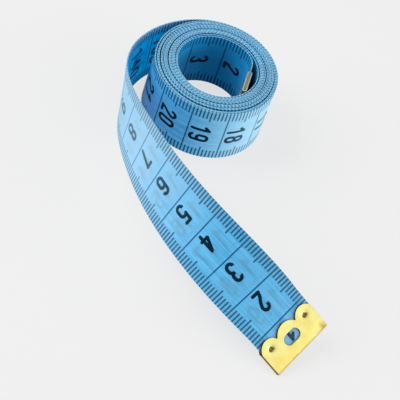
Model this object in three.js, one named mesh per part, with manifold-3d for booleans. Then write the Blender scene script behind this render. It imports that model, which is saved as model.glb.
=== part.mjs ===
// Cloth tape measure: a printed tape wound into a coil that stands on its edge. The outer end runs
// round the coil in a loop, twists over and lies down, and each end is held in a folded brass clip.
// Millimetres, +Z up, with the coil's axis along Z.

import * as THREE from "three";
import { mergeVertices } from "three/addons/utils/BufferGeometryUtils.js";
import Module from "manifold-3d";

// Tape
const TAPE_WIDTH = 18;
const TAPE_THICKNESS = 0.3;

// Coil, with the air between its turns opened so that each turn is a surface of its own
const COIL_DIAMETER = 34;
const BORE_DIAMETER = 22;
const TURN_GAP = 0.45;
const STEPS_PER_TURN = 48;

// Inner end: its stiff clip keeps it flat, a chord across one side of the bore
const FOLD_SETBACK = 5.3;
const FLAT_RUN_OUT = 0.35;
const BEND_STEPS = 8;

// Clip: one brass sheet folded over the end of the tape, with three lobes on each leaf
const CLIP_LENGTH = 9.15;
const CLIP_SHEET = 0.4;
const CLIP_CLEARANCE = 0.12;
const MIDDLE_LOBE_RADIUS = 4.05;
const SIDE_LOBE_RADIUS = 3.2;
const SIDE_LOBE_INSET = 2.9;
const WINDOW_LENGTH = 5;
const WINDOW_WIDTH = 2.9;
const WINDOW_DISTANCE = 4.65;
const DIMPLE_DIAMETER = 1.3;
const DIMPLE_DEPTH = 0.25;
const DIMPLE_DISTANCE = 6.1;
const DIMPLE_INSET = 2.9;

// Free stretch, from the clipped zero end to the point where the tape joins the outer turn
const FREE_LENGTH = 140;
const LEAVING_ANGLE = 72.5;
const FREE_STEP = 2;
const SEAM_GAP = 0.3;

// Distance from the zero end of the place where the standing tape flexes when its tail is swung
const FLEX_DISTANCE = 86;

// Bend and twist of the free stretch, in degrees per millimetre, by distance from the zero end
const ROUTE = [
  { distance: 0, bend: 0, twist: 0 },
  { distance: CLIP_LENGTH, bend: 0, twist: 0 },
  { distance: 14, bend: 1.31, twist: -1.62 },
  { distance: 30, bend: 0.95, twist: -1.23 },
  { distance: 45, bend: 0.78, twist: -0.79 },
  { distance: 60, bend: 0.64, twist: -0.65 },
  { distance: 75, bend: 0.43, twist: -0.77 },
  { distance: 90, bend: 1.86, twist: -0.54 },
  { distance: 105, bend: 2.28, twist: 0.44 },
  { distance: 120, bend: 2.34, twist: 0.26 },
  { distance: FREE_LENGTH, bend: 3.49, twist: 0 },
];

const radians = THREE.MathUtils.degToRad;
const wasm = await Module();
wasm.setup();

// Radii of the tape's middle surface on the first and the last turn
const innerRadius = BORE_DIAMETER / 2 + TAPE_THICKNESS / 2;
const outerRadius = COIL_DIAMETER / 2 - TAPE_THICKNESS / 2;

// Radii of the clip's fold, whose outside is the zero of the tape's scale
const foldInside = TAPE_THICKNESS / 2 + CLIP_CLEARANCE;
const foldOutside = foldInside + CLIP_SHEET;

// The flat inner end: the fold's outer corner lies on the bore's circle, inside the turn that passes it
const flatOffset = Math.sqrt((BORE_DIAMETER / 2) ** 2 - FOLD_SETBACK ** 2) - foldOutside;
const flatEnd = CLIP_LENGTH + FLAT_RUN_OUT - FOLD_SETBACK;

// The bend that leads from the flat end into the first turn, tangent to both
const bendRadius = (innerRadius ** 2 - flatOffset ** 2 - flatEnd ** 2) / (2 * (innerRadius - flatOffset));
const bendAngle = Math.atan2(flatEnd, flatOffset - bendRadius);

// As many turns as the gap allows, from the end of that bend to the leaving angle
const partTurn = THREE.MathUtils.euclideanModulo((radians(LEAVING_ANGLE) - bendAngle) / (2 * Math.PI), 1);
const mostTurns = (outerRadius - innerRadius) / (TAPE_THICKNESS + TURN_GAP);
const turns = Math.floor(mostTurns - partTurn) + partTurn;

function clothMaterial() {
  return new THREE.MeshStandardMaterial({ color: 0x5cb2e6, roughness: 0.4, metalness: 0 });
}

function brassMaterial() {
  return new THREE.MeshStandardMaterial({ color: 0xf2dc78, roughness: 0.3, metalness: 1 });
}

// A closed mesh as a solid that can be cut
function solidOf(geometry) {
  geometry.deleteAttribute("normal");
  geometry.deleteAttribute("uv");
  const merged = mergeVertices(geometry);
  const mesh = new wasm.Mesh({
    numProp: 3,
    vertProperties: merged.attributes.position.array,
    triVerts: new Uint32Array(merged.index.array),
  });
  return new wasm.Manifold(mesh);
}

function geometryOf(solid) {
  const mesh = solid.getMesh();
  const geometry = new THREE.BufferGeometry();
  geometry.setAttribute("position", new THREE.BufferAttribute(mesh.vertProperties, 3));
  geometry.setIndex(new THREE.BufferAttribute(mesh.triVerts, 1));
  geometry.computeVertexNormals();
  return geometry;
}

// A place along the tape: its middle, the way towards the zero end, the inner side and the upper edge
function section(point, turn) {
  return {
    point: point.clone(),
    forward: new THREE.Vector3(1, 0, 0).applyQuaternion(turn),
    side: new THREE.Vector3(0, 1, 0).applyQuaternion(turn),
    up: new THREE.Vector3(0, 0, 1).applyQuaternion(turn),
  };
}

// A place where the tape stands upright, heading at an angle from +X
function standingSection(x, y, heading) {
  const turn = new THREE.Quaternion().setFromAxisAngle(new THREE.Vector3(0, 0, 1), heading);
  return section(new THREE.Vector3(x, y, TAPE_WIDTH / 2), turn);
}

// The closed strip of tape that runs through a list of places
function stripGeometry(places) {
  const corners = [[1, 1], [-1, 1], [-1, -1], [1, -1]];
  const positions = [];
  for (const { point, side, up } of places) {
    for (const [across, along] of corners) {
      const corner = point.clone();
      corner.addScaledVector(side, (across * TAPE_THICKNESS) / 2);
      corner.addScaledVector(up, (along * TAPE_WIDTH) / 2);
      positions.push(corner.x, corner.y, corner.z);
    }
  }
  const last = 4 * (places.length - 1);
  const index = [0, 2, 1, 0, 3, 2, last, last + 1, last + 2, last, last + 2, last + 3];
  for (let start = 0; start < last; start += 4) {
    for (let corner = 0; corner < 4; corner += 1) {
      const a = start + corner;
      const b = start + ((corner + 1) % 4);
      index.push(a, b, b + 4, a, b + 4, a + 4);
    }
  }
  const geometry = new THREE.BufferGeometry();
  geometry.setAttribute("position", new THREE.Float32BufferAttribute(positions, 3));
  geometry.setIndex(index);
  geometry.computeVertexNormals();
  return geometry;
}

// Even steps from one value to another, both ends included
function spaced(from, to, step) {
  const count = Math.ceil(Math.abs(to - from) / step);
  return Array.from({ length: count + 1 }, (_, i) => from + ((to - from) * i) / count);
}

// The coil from the inner end outwards: flat in the clip, one bend, then the spiral
function coilPlaces() {
  const places = [];
  for (const y of spaced(foldOutside - FOLD_SETBACK, flatEnd, FREE_STEP)) {
    places.push(standingSection(flatOffset, y, Math.PI / 2));
  }
  for (let i = 1; i <= BEND_STEPS; i += 1) {
    const angle = (bendAngle * i) / BEND_STEPS;
    const x = flatOffset - bendRadius + bendRadius * Math.cos(angle);
    const y = flatEnd + bendRadius * Math.sin(angle);
    places.push(standingSection(x, y, angle + Math.PI / 2));
  }
  const steps = Math.ceil(turns * STEPS_PER_TURN);
  for (let i = 1; i <= steps; i += 1) {
    const angle = bendAngle + (2 * Math.PI * turns * i) / steps;
    const radius = THREE.MathUtils.lerp(innerRadius, outerRadius, i / steps);
    places.push(standingSection(radius * Math.cos(angle), radius * Math.sin(angle), angle + Math.PI / 2));
  }
  return places;
}

// The least air between two places that lie half a turn or more apart along the strip
function leastGap(places) {
  let least = Infinity;
  for (let i = 0; i < places.length; i += 1) {
    for (let j = i + STEPS_PER_TURN / 2; j < places.length; j += 1) {
      least = Math.min(least, places[i].point.distanceTo(places[j].point));
    }
  }
  return least - TAPE_THICKNESS;
}

// Bend and twist at a distance from the zero end
function routeAt(distance) {
  const next = Math.max(1, ROUTE.findIndex((station) => station.distance >= distance));
  const from = ROUTE[next - 1];
  const to = ROUTE[next];
  const share = (distance - from.distance) / (to.distance - from.distance);
  return {
    bend: THREE.MathUtils.lerp(from.bend, to.bend, share),
    twist: THREE.MathUtils.lerp(from.twist, to.twist, share),
  };
}

// The free stretch, walked from the outer turn towards the zero end
function freePlaces(distances) {
  const leaving = radians(LEAVING_ANGLE);
  const start = standingSection(outerRadius * Math.cos(leaving), outerRadius * Math.sin(leaving), 0);
  const point = start.point;
  const turn = new THREE.Quaternion().setFromAxisAngle(start.up, leaving + Math.PI / 2);
  let reached = FREE_LENGTH;
  return distances.map((distance) => {
    const step = reached - distance;
    const { bend, twist } = routeAt((reached + distance) / 2);
    const change = new THREE.Vector3(radians(twist), 0, radians(bend)).multiplyScalar(step);
    const angle = change.length();
    const halfTurn = new THREE.Quaternion().setFromAxisAngle(change.normalize(), angle / 2);
    turn.multiply(halfTurn);
    point.addScaledVector(new THREE.Vector3(1, 0, 0).applyQuaternion(turn), step);
    turn.multiply(halfTurn);
    reached = distance;
    return section(point, turn);
  });
}

// The clip seen from the side: two leaves and the round fold between them
function foldShape() {
  const shape = new THREE.Shape();
  shape.moveTo(CLIP_LENGTH, foldOutside);
  shape.lineTo(foldOutside, foldOutside);
  shape.absarc(foldOutside, 0, foldOutside, Math.PI / 2, 1.5 * Math.PI, false);
  shape.lineTo(CLIP_LENGTH, -foldOutside);
  shape.lineTo(CLIP_LENGTH, -foldInside);
  shape.lineTo(foldOutside, -foldInside);
  shape.absarc(foldOutside, 0, foldInside, 1.5 * Math.PI, Math.PI / 2, true);
  shape.lineTo(CLIP_LENGTH, foldInside);
  shape.closePath();
  return shape;
}

// The clip seen from the front: straight sides and a scalloped edge of three lobes
function lobeShape() {
  const half = TAPE_WIDTH / 2;
  const middle = CLIP_LENGTH - MIDDLE_LOBE_RADIUS;
  const side = CLIP_LENGTH - SIDE_LOBE_RADIUS;
  const spacing = half - SIDE_LOBE_INSET;
  const apart = Math.hypot(side - middle, spacing);
  const share = (apart ** 2 + MIDDLE_LOBE_RADIUS ** 2 - SIDE_LOBE_RADIUS ** 2) / (2 * apart);
  const valleyAngle = Math.atan2(spacing, side - middle) - Math.acos(share / MIDDLE_LOBE_RADIUS);
  const valley = new THREE.Vector2(Math.cos(valleyAngle), Math.sin(valleyAngle));
  valley.multiplyScalar(MIDDLE_LOBE_RADIUS).add(new THREE.Vector2(middle, 0));
  const inward = Math.atan2(valley.y - spacing, valley.x - side);
  const edgeAngle = Math.asin(Math.min(1, SIDE_LOBE_INSET / SIDE_LOBE_RADIUS));
  const shape = new THREE.Shape();
  shape.moveTo(0, half);
  shape.lineTo(0, -half);
  shape.absarc(side, -spacing, SIDE_LOBE_RADIUS, -edgeAngle, -inward, false);
  shape.absarc(middle, 0, MIDDLE_LOBE_RADIUS, -valleyAngle, valleyAngle, false);
  shape.absarc(side, spacing, SIDE_LOBE_RADIUS, inward, edgeAngle, false);
  shape.closePath();
  return shape;
}

// The oblong window through which the first figure of the scale is read
function windowShape() {
  const radius = WINDOW_WIDTH / 2;
  const reach = WINDOW_LENGTH / 2 - radius;
  const shape = new THREE.Shape();
  shape.absarc(WINDOW_DISTANCE, reach, radius, 0, Math.PI, false);
  shape.absarc(WINDOW_DISTANCE, -reach, radius, Math.PI, 2 * Math.PI, false);
  shape.closePath();
  return shape;
}

// A shape pushed through both leaves of the clip
function throughClip(shape) {
  const depth = 4 * foldOutside;
  const geometry = new THREE.ExtrudeGeometry(shape, { depth, bevelEnabled: false, curveSegments: 10 });
  return solidOf(geometry.translate(0, 0, -depth / 2));
}

// A round dimple, punched into the leaf that shows
function dimple(across) {
  const rim = DIMPLE_DIAMETER / 2;
  const radius = (rim ** 2 + DIMPLE_DEPTH ** 2) / (2 * DIMPLE_DEPTH);
  const ball = new THREE.SphereGeometry(radius, 16, 10).rotateX(Math.PI / 2);
  return solidOf(ball.translate(DIMPLE_DISTANCE, across, DIMPLE_DEPTH - foldOutside - radius));
}

// The clip in its own frame: +X from the fold along the tape, +Y across the tape, showing leaf at -Z
function clipGeometry() {
  const options = { depth: TAPE_WIDTH, bevelEnabled: false, curveSegments: 8 };
  const folded = new THREE.ExtrudeGeometry(foldShape(), options);
  folded.rotateX(Math.PI / 2).translate(0, TAPE_WIDTH / 2, 0);
  const dimpleAcross = TAPE_WIDTH / 2 - DIMPLE_INSET;
  let clip = solidOf(folded).intersect(throughClip(lobeShape()));
  clip = clip.subtract(throughClip(windowShape()));
  clip = clip.subtract(dimple(dimpleAcross)).subtract(dimple(-dimpleAcross));
  return geometryOf(clip);
}

// A clip folded over the end of the tape at a place, its leaves reaching inwards along the tape
function clipMesh(name, place, inwards) {
  const mesh = new THREE.Mesh(clipGeometry(), brassMaterial());
  const through = new THREE.Vector3().crossVectors(inwards, place.up);
  const basis = new THREE.Matrix4().makeBasis(inwards, place.up, through);
  mesh.name = name;
  mesh.quaternion.setFromRotationMatrix(basis);
  mesh.position.copy(place.point).addScaledVector(inwards, -foldOutside);
  return mesh;
}

function tapeMesh(name, places) {
  const mesh = new THREE.Mesh(stripGeometry(places), clothMaterial());
  mesh.name = name;
  return mesh;
}

const coil = coilPlaces();
const loopDistances = spaced(FREE_LENGTH - SEAM_GAP, FLEX_DISTANCE + SEAM_GAP / 2, FREE_STEP);
const tailDistances = spaced(FLEX_DISTANCE - SEAM_GAP / 2, foldOutside, FREE_STEP);
const free = freePlaces([...loopDistances, ...tailDistances]);
const loop = free.slice(0, loopDistances.length);
const tail = free.slice(loopDistances.length);
const innerEnd = coil[0];
const zeroEnd = tail[tail.length - 1];

console.log("least gap between the turns of the coil: " + leastGap(coil).toFixed(2) + " mm");

const standing = new THREE.Group();
standing.add(tapeMesh("tape_coil", coil));
standing.add(tapeMesh("tape_loop", loop));
standing.add(tapeMesh("tape_tail", tail));
standing.add(clipMesh("inner_end_clip", innerEnd, innerEnd.forward));
standing.add(clipMesh("outer_end_clip", zeroEnd, zeroEnd.forward.clone().negate()));

// The origin is the middle of the base of the whole tape measure
const box = new THREE.Box3().setFromObject(standing, true);
const middle = box.getCenter(new THREE.Vector3());
standing.position.set(-middle.x, -middle.y, -box.min.z);

const tapeMeasure = new THREE.Group();
tapeMeasure.add(standing);

export default tapeMeasure;
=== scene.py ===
"""A cloth tape measure, wound into a coil that stands on its edge.

The printed tape leaves the outer turn, loops round the coil, twists over and lies down towards the
viewer. Each end of the tape is held in a folded brass clip. Lengths are in millimetres until a mesh
is placed in the frame, which is in metres with +Z up.
"""

import logging
import math
from dataclasses import dataclass
from enum import Enum
from functools import cached_property
from typing import Any, Mapping, Optional, Sequence, Union

import bmesh
import bpy
from mathutils import Color, Matrix, Quaternion, Vector


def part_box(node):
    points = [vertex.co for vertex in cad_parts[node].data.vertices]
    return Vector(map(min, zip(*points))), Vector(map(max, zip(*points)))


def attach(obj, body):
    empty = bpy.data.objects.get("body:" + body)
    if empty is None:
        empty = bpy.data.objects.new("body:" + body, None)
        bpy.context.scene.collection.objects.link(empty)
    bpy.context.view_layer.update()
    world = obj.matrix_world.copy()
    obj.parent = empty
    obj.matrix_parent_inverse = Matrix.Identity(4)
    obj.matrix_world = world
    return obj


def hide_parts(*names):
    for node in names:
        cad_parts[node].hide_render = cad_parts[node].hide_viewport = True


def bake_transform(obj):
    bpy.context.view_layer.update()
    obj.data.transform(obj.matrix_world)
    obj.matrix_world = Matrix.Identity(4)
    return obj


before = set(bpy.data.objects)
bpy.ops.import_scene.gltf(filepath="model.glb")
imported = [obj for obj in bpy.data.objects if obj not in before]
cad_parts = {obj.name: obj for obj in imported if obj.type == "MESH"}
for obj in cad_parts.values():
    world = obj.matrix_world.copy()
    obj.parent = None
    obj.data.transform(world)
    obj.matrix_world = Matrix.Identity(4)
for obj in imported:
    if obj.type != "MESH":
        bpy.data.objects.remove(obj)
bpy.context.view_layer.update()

LOG = logging.getLogger("tape_measure")
MM = 0.001

# The two scales as UV maps, in millimetres along the tape and across it from its middle
OUTER_SCALE = "outer_scale"
INNER_SCALE = "inner_scale"

# The clip's flat pattern as a UV map, in millimetres from the fold and from the middle
CLIP_PATTERN = "clip_pattern"

# How far from a whole number a value still counts as it
WHOLE_MARGIN = 0.25

Colour = tuple[float, float, float, float]

# A place of the tape: its middle, the way forward and the way up
Spot = tuple[Vector, Vector, Vector]


class TapeFace(Enum):
    """The side of the tape that a finish is made for, by its place in the list of materials."""

    OUTER = 0
    INNER = 1
    EDGE = 2


class TapeEnd(Enum):
    """Which end of the tape a clip holds."""

    ZERO = "outer"
    LAST = "inner"


def paint(red: int, green: int, blue: int) -> Colour:
    """A colour as a screen shows it, from 0 to 255, made linear and given full alpha."""
    seen = Color((red / 255, green / 255, blue / 255))
    return (*seen.from_srgb_to_scene_linear(), 1.0)


def smooth(low: float, high: float, value: float) -> float:
    """A smooth step at a value: 0 before low, 1 after high and an even slope between."""
    share = min(max((value - low) / (high - low), 0.0), 1.0)
    return share * share * (3 - 2 * share)


class Value:
    """A number that varies over a surface, whose operators add Math nodes."""

    def __init__(self, graph: "ShaderGraph", socket: bpy.types.NodeSocket) -> None:
        """Wraps the output of a graph's node that holds the number."""
        self.graph = graph
        self.socket = socket

    def __add__(self, other: "Number") -> "Value":
        """Adds."""
        return self.graph.math("ADD", self, other)

    def __radd__(self, other: float) -> "Value":
        """Adds to a plain number."""
        return self.graph.math("ADD", other, self)

    def __sub__(self, other: "Number") -> "Value":
        """Subtracts."""
        return self.graph.math("SUBTRACT", self, other)

    def __rsub__(self, other: float) -> "Value":
        """Subtracts from a plain number."""
        return self.graph.math("SUBTRACT", other, self)

    def __mul__(self, other: "Number") -> "Value":
        """Multiplies."""
        return self.graph.math("MULTIPLY", self, other)

    def __rmul__(self, other: float) -> "Value":
        """Multiplies a plain number."""
        return self.graph.math("MULTIPLY", other, self)

    def __truediv__(self, other: "Number") -> "Value":
        """Divides."""
        return self.graph.math("DIVIDE", self, other)

    def __pow__(self, other: "Number") -> "Value":
        """Raises to a power."""
        return self.graph.math("POWER", self, other)

    def __rpow__(self, other: float) -> "Value":
        """Raises a plain number to this power."""
        return self.graph.math("POWER", other, self)

    def __mod__(self, other: "Number") -> "Value":
        """Remainder of a division."""
        return self.graph.math("MODULO", self, other)

    def __abs__(self) -> "Value":
        """Size without its sign."""
        return self.graph.math("ABSOLUTE", self)

    def __lt__(self, other: "Number") -> "Value":
        """1 where this is the smaller, else 0."""
        return self.graph.math("LESS_THAN", self, other)

    def __gt__(self, other: "Number") -> "Value":
        """1 where this is the larger, else 0."""
        return self.graph.math("GREATER_THAN", self, other)

    def __or__(self, other: "Number") -> "Value":
        """The larger of the two, which joins masks."""
        return self.graph.math("MAXIMUM", self, other)

    def __and__(self, other: "Number") -> "Value":
        """The smaller of the two, which joins distances."""
        return self.graph.math("MINIMUM", self, other)

    def floor(self) -> "Value":
        """The whole number at or below this."""
        return self.graph.math("FLOOR", self)

    def nearest(self) -> "Value":
        """The nearest whole number."""
        return self.graph.math("ROUND", self)

    def sine(self) -> "Value":
        """The sine of this angle in radians."""
        return self.graph.math("SINE", self)

    def is_about(self, other: float) -> "Value":
        """1 where this is a given whole number, else 0."""
        return self.graph.math("COMPARE", self, other, WHOLE_MARGIN)

    def held_between(self, low: float, high: float) -> "Value":
        """This, kept within two limits."""
        return (self | low) & high

    def to(self, other: "Value") -> "Value":
        """The long side of a right triangle with these two sides."""
        return self.graph.math("SQRT", self * self + other * other)

    def below(self, limit: "Number", softness: float) -> "Value":
        """A mask that is 1 below a limit, a half at it, and falls over a width of softness."""
        return self.graph.math("ADD", (limit - self) / softness, 0.5, clamp=True)


Number = Union[Value, float]
Source = Union[Value, bpy.types.NodeSocket, float, Sequence[float]]


class ShaderGraph:
    """The nodes of one material, world or node group."""

    def __init__(self, tree: bpy.types.NodeTree) -> None:
        """Clears a node tree, to fill it."""
        self.tree = tree
        self.tree.nodes.clear()

    @classmethod
    def of(cls, owner: Union[bpy.types.Material, bpy.types.World]) -> "ShaderGraph":
        """The empty graph of a material or world."""
        owner.use_nodes = True
        return cls(owner.node_tree)

    def add(
        self,
        kind: str,
        settings: Optional[Mapping[str, Any]] = None,
        inputs: Optional[Mapping[Union[str, int], Source]] = None,
    ) -> bpy.types.Node:
        """Adds a node.

        Args:
            kind: The node's type.
            settings: Properties to set first.
            inputs: Values or links, by the socket's name or number.

        Returns:
            The new node.
        """
        node = self.tree.nodes.new(kind)
        for name, setting in (settings or {}).items():
            setattr(node, name, setting)
        for name, source in (inputs or {}).items():
            if isinstance(source, Value):
                source = source.socket
            if isinstance(source, bpy.types.NodeSocket):
                self.tree.links.new(source, node.inputs[name])
            else:
                node.inputs[name].default_value = source
        return node

    def math(self, operation: str, *operands: Number, clamp: bool = False) -> Value:
        """Adds a Math node.

        Args:
            operation: The node's operation.
            operands: One to three values.
            clamp: Whether the result is kept from 0 to 1.

        Returns:
            The result.
        """
        settings = {"operation": operation, "use_clamp": clamp}
        node = self.add("ShaderNodeMath", settings, dict(enumerate(operands)))
        return Value(self, node.outputs[0])

    def uv(self, name: str) -> tuple[Value, Value]:
        """Reads a UV map.

        Args:
            name: The map's name.

        Returns:
            Its two coordinates.
        """
        mapped = self.add("ShaderNodeUVMap", {"uv_map": name})
        split = self.add("ShaderNodeSeparateXYZ", inputs={0: mapped.outputs["UV"]})
        return Value(self, split.outputs["X"]), Value(self, split.outputs["Y"])

    def noise(self, along: Number, across: Number, detail: float = 2.0) -> Value:
        """Adds a noise on two coordinates.

        Args:
            along: The first coordinate, in units of the pattern.
            across: The second coordinate, in units of the pattern.
            detail: How many finer layers the noise has.

        Returns:
            The noise, mostly from 0.25 to 0.75.
        """
        vector = self.add("ShaderNodeCombineXYZ", inputs={"X": along, "Y": across})
        inputs = {"Vector": vector.outputs[0], "Scale": 1.0, "Detail": detail}
        node = self.add("ShaderNodeTexNoise", {"noise_dimensions": "2D"}, inputs)
        return Value(self, node.outputs[0])

    def mix(self, share: Number, first: Source, second: Source) -> bpy.types.NodeSocket:
        """The mix of two colours, by the share of the second."""
        inputs = {0: share, 6: first, 7: second}
        return self.add("ShaderNodeMix", {"data_type": "RGBA"}, inputs).outputs[2]

    def bump(self, height: Value, depth: float, strength: float) -> bpy.types.NodeSocket:
        """The normal of a relief from 0 to 1, by its depth in metres and the share that is used."""
        inputs = {"Height": height, "Distance": depth, "Strength": strength}
        return self.add("ShaderNodeBump", inputs=inputs).outputs[0]

    def shader(self, inputs: Mapping[str, Source]) -> bpy.types.NodeSocket:
        """A Principled shader with these values and links."""
        return self.add("ShaderNodeBsdfPrincipled", inputs=inputs).outputs[0]

    def over(
        self, share: Number, under: bpy.types.NodeSocket, upper: bpy.types.NodeSocket
    ) -> bpy.types.NodeSocket:
        """One shader laid over another, by the share of the upper one that shows."""
        return self.add("ShaderNodeMixShader", inputs={0: share, 1: under, 2: upper}).outputs[0]

    def finish(self, shader: bpy.types.NodeSocket) -> None:
        """Ends a material with its shader."""
        self.add("ShaderNodeOutputMaterial", inputs={"Surface": shader})


@dataclass(frozen=True)
class Numerals:
    """Drawn figures from 0 to 9, each made of bars and round bowls of one stroke."""

    half_width: float = 0.925
    half_height: float = 2.375
    far: float = 10.0

    def bowl(self, x: Value, y: Value, low: float, high: float, radius: float) -> Value:
        """Distance to the outline of an upright oblong from low to high, whose ends are round."""
        return abs(x.to(y - y.held_between(low + radius, high - radius)) - radius)

    def bar(self, x: Value, y: Value, start: tuple[float, float], end: tuple[float, float]) -> Value:
        """Distance to a straight stroke.

        Args:
            x: Place across the figure.
            y: Place up the figure.
            start: One end of the stroke.
            end: The other end.

        Returns:
            The distance in millimetres.
        """
        step = (end[0] - start[0], end[1] - start[1])
        square = step[0] ** 2 + step[1] ** 2
        first = (x - start[0]) * (step[0] / square)
        share = x.graph.math("ADD", first, (y - start[1]) * (step[1] / square), clamp=True)
        return (x - start[0] - share * step[0]).to(y - start[1] - share * step[1])

    def only(self, distance: Value, where: Value) -> Value:
        """Keeps a stroke where a mask is 1 and sends it far away elsewhere."""
        return distance + (1 - where) * self.far

    def distance(self, digit: Value, x: Value, y: Value) -> Value:
        """Distance to the stroke of one figure.

        Args:
            digit: Which figure, from 0 to 9.
            x: Place across the figure, from its middle.
            y: Place up the figure, from its middle.

        Returns:
            The distance in millimetres.
        """
        wide, tall = self.half_width, self.half_height
        oblong = self.bowl(x, y, -tall, tall, wide)
        figures = [
            oblong,
            self.bar(x, y, (0.3, -tall), (0.3, tall)) & self.bar(x, y, (0.3, 2.3), (-0.75, 1.3)),
            self.only(oblong, y > 1.0)
            & self.bar(x, y, (0.9, 1.1), (0.4, 0.0))
            & self.bar(x, y, (0.4, 0.0), (-0.55, -1.3))
            & self.bar(x, y, (-0.55, -1.3), (-0.85, -2.25))
            & self.bar(x, y, (-wide, -tall), (wide, -tall)),
            self.only(self.bowl(x, y, 0.1, tall, 0.9), (x > -0.2) | (y > 1.5))
            & self.only(self.bowl(x, y, -tall, 0.1, wide), (x > -0.2) | (y < -1.4)),
            self.bar(x, y, (0.35, 2.3), (-0.95, -1.0))
            & self.bar(x, y, (-wide, -1.1), (1.0, -1.1))
            & self.bar(x, y, (0.45, 2.3), (0.45, -tall)),
            self.only(self.bowl(x, y, -tall, 0.62, wide), (x > -0.3) | (abs(y + 0.65) > 0.75))
            & self.bar(x, y, (-0.75, tall), (0.8, tall))
            & self.bar(x, y, (-0.75, tall), (-0.83, 0.15)),
            self.bowl(x, y, -tall, 0.475, wide) & self.only(oblong, (x < 0.0) | (y > 1.55)),
            self.bar(x, y, (-wide, tall), (wide, tall)) & self.bar(x, y, (0.85, 2.3), (-0.35, -tall)),
            self.bowl(x, y, 0.15, tall, 0.82) & self.bowl(x, y, -tall, 0.15, wide),
            self.bowl(x, y, -0.475, tall, wide) & self.only(oblong, (x > 0.0) | (y < -1.55)),
        ]
        chosen = digit.is_about(0) * figures[0]
        for number, figure in enumerate(figures[1:], start=1):
            chosen = chosen + digit.is_about(number) * figure
        return chosen


@dataclass(frozen=True)
class PrintedScale:
    """The centimetre scale that is printed on both faces of the tape."""

    tape_width: float = 18.0
    cell: float = 10.0
    line_width: float = 0.4
    tick_width: float = 0.42
    tick_length: float = 2.9
    half_tick_extra: float = 1.0
    figure_middle: float = 6.45
    figure_pitch: float = 3.4
    figure_stroke: float = 0.92
    softness: float = 0.07
    halfway_reach: float = 0.5
    two_figures_from: float = 9.5
    three_figures_from: float = 99.5
    rounding_guard: float = 0.01
    numerals: Numerals = Numerals()

    def rules(self, reading: Value, across: Value) -> Value:
        """The lines across the tape and the ticks along its edges.

        Args:
            reading: Distance from the scale's zero.
            across: Place across the tape, from its middle.

        Returns:
            A mask that is 1 on the ink.
        """
        to_line = abs(reading - (reading / self.cell).nearest() * self.cell)
        line = to_line.below(self.line_width / 2, self.softness)
        in_cell = reading - (reading / self.cell).floor() * self.cell
        halfway = abs(in_cell - self.cell / 2) < self.halfway_reach
        reach = halfway * self.half_tick_extra + self.tick_length
        from_edge = self.tape_width / 2 - abs(across)
        tick = abs(reading - reading.nearest()).below(self.tick_width / 2, self.softness)
        return line | tick * from_edge.below(reach, self.softness)

    def figures(self, reading: Value, across: Value) -> Value:
        """The numbers, one in each centimetre, read with the zero of the scale at their top.

        Args:
            reading: Distance from the scale's zero.
            across: Place across the tape, from its middle.

        Returns:
            A mask that is 1 on the ink.
        """
        cell = (reading / self.cell).floor()
        label = cell + 1.0
        count = (label > self.two_figures_from) + (label > self.three_figures_from) + 1.0
        from_left = count * (self.figure_pitch / 2) - across
        column = (from_left / self.figure_pitch).floor() | 0.0
        column = column & (count - 1.0)
        x = from_left - (column + 0.5) * self.figure_pitch
        y = self.figure_middle - (reading - cell * self.cell)
        power = 10.0 ** (count - 1.0 - column)
        digit = (label / power + self.rounding_guard).floor() % 10.0
        return self.numerals.distance(digit, x, y).below(self.figure_stroke / 2, self.softness)

    def group(self) -> bpy.types.NodeTree:
        """Draws the print once, as a node group that both faces share.

        Returns:
            The group, from a reading and a place across to the masks of the rules and the figures.
        """
        tree = bpy.data.node_groups.new("printed_scale", "ShaderNodeTree")
        sockets = {"Reading": "INPUT", "Across": "INPUT", "Rules": "OUTPUT", "Figures": "OUTPUT"}
        for name, way in sockets.items():
            tree.interface.new_socket(name, in_out=way, socket_type="NodeSocketFloat")
        graph = ShaderGraph(tree)
        given = graph.add("NodeGroupInput").outputs
        reading, across = Value(graph, given["Reading"]), Value(graph, given["Across"])
        inputs = {"Rules": self.rules(reading, across), "Figures": self.figures(reading, across)}
        graph.add("NodeGroupOutput", inputs=inputs)
        return tree


@dataclass(frozen=True)
class PaintedVeil:
    """A stretch of the tape painted paler: a painted veil that stands in for bright light grazing it.
    """

    middle: float
    reach: float
    blend: float
    share: float

    def amount(self, along: Value) -> Value:
        """How strong the painted veil is at a distance along the tape."""
        return abs(along - self.middle).below(self.reach, self.blend) * self.share


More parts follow.
